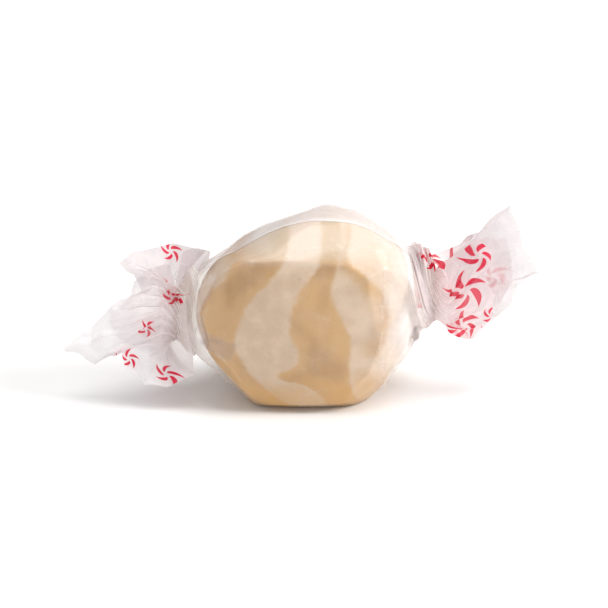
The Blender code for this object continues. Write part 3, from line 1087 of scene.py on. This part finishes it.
def waxed(paint, colour, roughness, opacity, bump, glow):
    """`opacity` of the sheet is paper, and `glow` of the paper passes light from behind."""
    sheet = paint.surface(Base_Color=colour, Roughness=roughness, Normal=bump, Specular_IOR_Level=0.5)
    through = paint.node("ShaderNodeBsdfTranslucent", None, Color=colour, Normal=bump)
    paper = paint.node("ShaderNodeMixShader", None, glow, sheet, through)
    clear = paint.node("ShaderNodeBsdfTransparent", None, (1.0, 1.0, 1.0))
    return paint.node("ShaderNodeMixShader", None, opacity, clear, paper)


def whitened_creases(paint, in_mm, size, clouds):
    """Broken lines of cracked wax, and the facets between them."""
    edge = paint.cells(in_mm, 1.0 / size, "DISTANCE_TO_EDGE")
    return edge.below(0.008, 0.045) * clouds.step(0.42, 0.60), paint.cells(in_mm, 1.0 / size, "F1")


def print_ink(paint):
    """1 on the print's blades, and a soft ghost of it on sheets behind."""
    place = paint.node("ShaderNodeUVMap", {"uv_map": "pinwheel"})
    across, up = paint.axes(place, "XY")
    reach = paint.node("ShaderNodeVectorMath", {"operation": "LENGTH"}, place, output="Value")
    turn = up.maths("ARCTAN2", across) + PINWHEEL_TWIST * reach
    aside = (turn * (PINWHEEL_BLADES / 2.0)).maths("SINE").maths("ABSOLUTE")
    aside = aside * reach * (2.0 / PINWHEEL_BLADES)
    thickness = (reach - PINWHEEL_HOLE) * (1.0 - reach)
    return (thickness - aside).step(0.0, 0.03), reach.below(0.5, 1.6)


# %% Clinging paper
WRAP_ROUGHNESS = 0.26
WRAP_CRACKS = 4.2
# Where the paper bridges a hollow, greyed as painted shade of the hollow under it: across, height, lean,
# half length, half width, softness.
BRIDGED = (-10.2, 8.6, -18.0, 2.1, 1.2, 0.35)


def paint_wrap():
    paint = Paint("wax_paper_clinging")
    in_mm = paint.place_in_mm()
    across, depth, height = paint.axes(in_mm)
    standing, gather, double = (paint.stored(name) for name in ("standing_off", "gather", "double"))
    clouds = paint.noise(in_mm, 0.4, detail=3.0)
    lines = paint.noise(paint.vector("MULTIPLY", in_mm, (0.25, 1.0, 1.0)), 1.1, detail=4.0, roughness=0.6)
    uneven = clouds - 0.5
    # Whiter, more opaque paper over the right bevel and on the top, more so on the top's left: partly
    # milky film, partly painted light where the lamps fall brightest.
    right = (across + 3.0 * uneven).step(7.0, 12.5) * (depth + 6.0 * uneven).below(-3.5, 2.5)
    top_milk_and_painted_light = height.step(18.3, 20.5) * (0.24 + 0.22 * across.below(-6.5, -1.0))
    hollow_shade = paint.bar(across, height, *BRIDGED) * depth.below(-6.0, -3.0)
    inked = print_ink(paint)[0] * paint.stored("towards_waist").step(0.30, 0.45)
    cracks, facets = whitened_creases(paint, in_mm, WRAP_CRACKS, clouds)
    opacity = 0.07 + 0.36 * standing + 0.20 * gather + 0.12 * uneven + 0.36 * double
    opacity = opacity + 0.45 * paint.stored("lip") + 0.35 * paint.stored("fold_line") + top_milk_and_painted_light
    opacity = opacity + 0.48 * right * (1.0 - gather) + 0.22 * hollow_shade + 0.07 * cracks + 0.4 * inked
    white = paint.mix(double, CLING_WHITE, WAX_WHITE)
    # Gathered paper takes the fans' greyer paper, less of it on the left: painted light in the left neck,
    # which lies in shade.
    white = paint.mix(gather * (0.15 + 0.35 * across.step(-6.0, 6.0)), white, PAPER_WHITE)
    # Grey paper over the hollow: painted shade.
    white = paint.mix(hollow_shade, white, HOLLOW_SHADE_GREY)
    colour = paint.mix(inked, white, PRINT_RED)
    bump = paint.bump(0.6, 0.0002, lines + facets * 0.5)
    shader = waxed(paint, colour, WRAP_ROUGHNESS, opacity.clamped(), bump, 0.30 + 0.20 * gather)
    return paint.finish(shader)


wrap.data.materials.append(paint_wrap())
print("clinging paper:", len(wrap.data.materials[0].node_tree.nodes), "nodes")

# %% Paper of the twists
FAN_ROUGHNESS = 0.42
FAN_GLOW = 0.52
FAN_CRACKS = 2.9


def paint_fan():
    paint = Paint("wax_paper_printed")
    inked, ghost = print_ink(paint)
    in_mm = paint.place_in_mm()
    along, height = paint.axes(in_mm, "XZ")
    fold, near_neck = (paint.stored(name) for name in ("fold_line", "near_neck"))
    clouds = paint.noise(in_mm, 0.5, detail=3.0)
    fibre = paint.noise(in_mm, 2.2, detail=5.0, roughness=0.7)
    cracks, facets = whitened_creases(paint, in_mm, FAN_CRACKS, clouds)
    far = along.step(22.0, 26.0)
    left = along.below(-12.0, -6.0)
    # Painted light and shade on the left fan: whiter low down, where the flag lies in shade from the
    # right-hand lamps, and greyer high up on the petal under the lamp above.
    left_painted_light_and_shade = paint.mix(height.step(9.5, 14.0), LOW_LEFT_PAINTED_LIGHT, HIGH_LEFT_PAINTED_SHADE)
    white = paint.mix(left, PAPER_WHITE, left_painted_light_and_shade)
    # Whiter near the neck as painted light against the shade among the gathered folds, but not on the high
    # left petal. It is also whiter on cracked wax and towards the far corner.
    paper_whitening_and_neck_light = near_neck * (1.0 - left * height.step(12.5, 15.0)) + 0.3 * cracks + 0.2 * far
    white = paint.mix(paper_whitening_and_neck_light.clamped(), white, WAX_WHITE)
    white = paint.mix(ghost * 0.22, white, GHOST_PINK)
    colour = paint.mix(inked, white, PRINT_RED)
    opacity = 0.76 + 0.16 * (clouds - 0.5) + 0.16 * fold + 0.22 * inked + 0.05 * cracks
    opacity = opacity - 0.10 * far - 0.14 * near_neck
    bump = paint.bump(0.40, 0.0002, 0.6 * fibre + clouds * 1.6 + facets * 1.8)
    return paint.finish(waxed(paint, colour, FAN_ROUGHNESS, opacity.clamped(), bump, FAN_GLOW))


printed = paint_fan()
for paper in loose_papers:
    paper.data.materials.append(printed)
print("paper of", len(loose_papers), "pieces:", len(printed.node_tree.nodes), "nodes")

# %% [markdown]
# ## Floor, light and camera
#
# The photo is bright and nearly shadowless. Broad lamps above and to the right make the top and the
# right bevel brightest, a weak one fills the front from the left, and a white room lights the rest.
# The camera looks down a little on the front cut.

# %% Studio
FLOOR_WHITE = (0.90, 0.90, 0.90)
FLOOR_HALF = 1.2
VIEW_ELEVATION = math.radians(20)
VIEW_DISTANCE = 0.45
VIEW_WIDTH = 0.073
AIM = Vector((0.0, 0.0, 11.0)) * MM
ROOM_STRENGTH = 0.52
# Lamps as (name, place in m, size in m, power in W, tint).
LAMPS = [
    ("lamp_above", (0.05, 0.02, 0.78), 0.60, 3.7, (1.0, 0.99, 0.98)),
    ("lamp_left", (-0.55, -0.60, 0.16), 0.50, 0.95, (1.0, 1.0, 1.0)),
    ("lamp_right", (0.70, -0.12, 0.42), 0.40, 5.2, (1.0, 0.99, 0.98)),
]

floor_skin = bmesh.new()
bmesh.ops.create_grid(floor_skin, x_segments=1, y_segments=1, size=FLOOR_HALF)
floor = new_piece("floor", floor_skin)
floor_paint = Paint("pale_floor")
grain = floor_paint.noise(floor_paint.node("ShaderNodeTexCoord", output="Object"), 9.0)
floor_shader = floor_paint.surface(Base_Color=FLOOR_WHITE, Roughness=0.55 + 0.1 * grain)
floor.data.materials.append(floor_paint.finish(floor_shader))

for name, place, size, power, tint in LAMPS:
    lamp = bpy.data.lights.new(name, "AREA")
    lamp.shape = "DISK"
    lamp.size = size
    lamp.energy = power
    lamp.color = tint
    holder = in_scene(name, lamp)
    holder.location = Vector(place)
    holder.rotation_euler = (AIM - holder.location).to_track_quat("-Z", "Y").to_euler()

world = bpy.data.worlds.new("studio")
world.use_nodes = True
room = world.node_tree.nodes["Background"]
room.inputs["Color"].default_value = (1.0, 1.0, 1.0, 1.0)
room.inputs["Strength"].default_value = ROOM_STRENGTH
bpy.context.scene.world = world
bpy.context.scene.view_settings.view_transform = "Standard"

camera_data = bpy.data.cameras.new("camera")
camera_data.sensor_width = 36.0
camera_data.lens = camera_data.sensor_width * VIEW_DISTANCE / VIEW_WIDTH
camera = in_scene("camera", camera_data)
back = Vector((0.0, -math.cos(VIEW_ELEVATION), math.sin(VIEW_ELEVATION)))
camera.location = AIM + back * VIEW_DISTANCE
camera.rotation_euler = (-back).to_track_quat("-Z", "Y").to_euler()
camera_data.clip_start = 0.01
bpy.context.scene.camera = camera
print("camera lens:", round(camera_data.lens), "mm")
